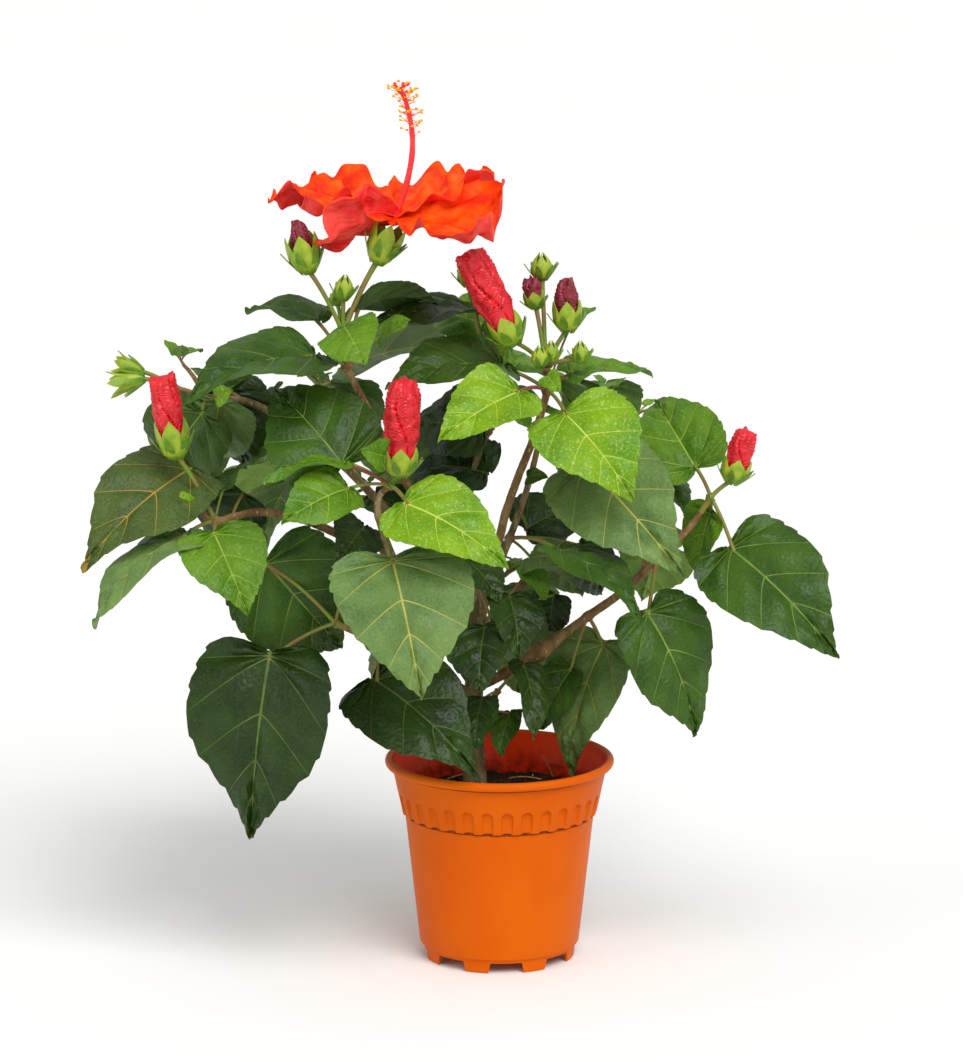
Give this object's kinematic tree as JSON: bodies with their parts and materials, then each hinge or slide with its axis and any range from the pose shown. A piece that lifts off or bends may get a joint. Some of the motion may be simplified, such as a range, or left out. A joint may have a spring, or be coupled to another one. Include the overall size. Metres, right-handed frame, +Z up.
{
  "type": "potted hibiscus shrub",
  "caption": "Bushy hibiscus with toothed leaves, red buds and an open red flower, growing in an orange fluted nursery pot.",
  "frame": {"origin": "centre of the pot's flat underside", "axes": "+Z up along the pot's axis, -Y towards the face that the picture shows, +X to the right there"},
  "size_m": [0.4226, 0.3099, 0.5002],
  "materials": {
    "orange_plastic": "injection-moulded polypropylene, satin",
    "potting_soil": "damp dark potting compost",
    "bark": "thin grey-brown bark with fine lenticels",
    "foliage": "glossy toothed leaves, green stalks, red buds and petals"
  },
  "bodies": {
    "root": {"pot": "orange_plastic", "potting_soil": "potting_soil", "trunk": "bark", "bough_right": "bark", "spray_right": "foliage", "bough_centre": "bark", "spray_centre": "foliage", "bough_mid_right": "bark", "spray_mid_right": "foliage", "bough_top_left": "bark", "spray_top_left": "foliage", "bough_front": "bark", "spray_front": "foliage", "bough_left": "bark", "spray_left": "foliage", "bough_upper_left": "bark", "spray_upper_left": "foliage", "bough_back_top": "bark", "spray_back_top": "foliage", "spray_low_left": "foliage", "spray_low_centre": "foliage", "spray_foot": "foliage", "bough_back_left": "bark", "spray_back_left": "foliage", "bough_back_right": "bark", "spray_back_right": "foliage", "spray_back_low": "foliage"}
  },
  "joints": []
}
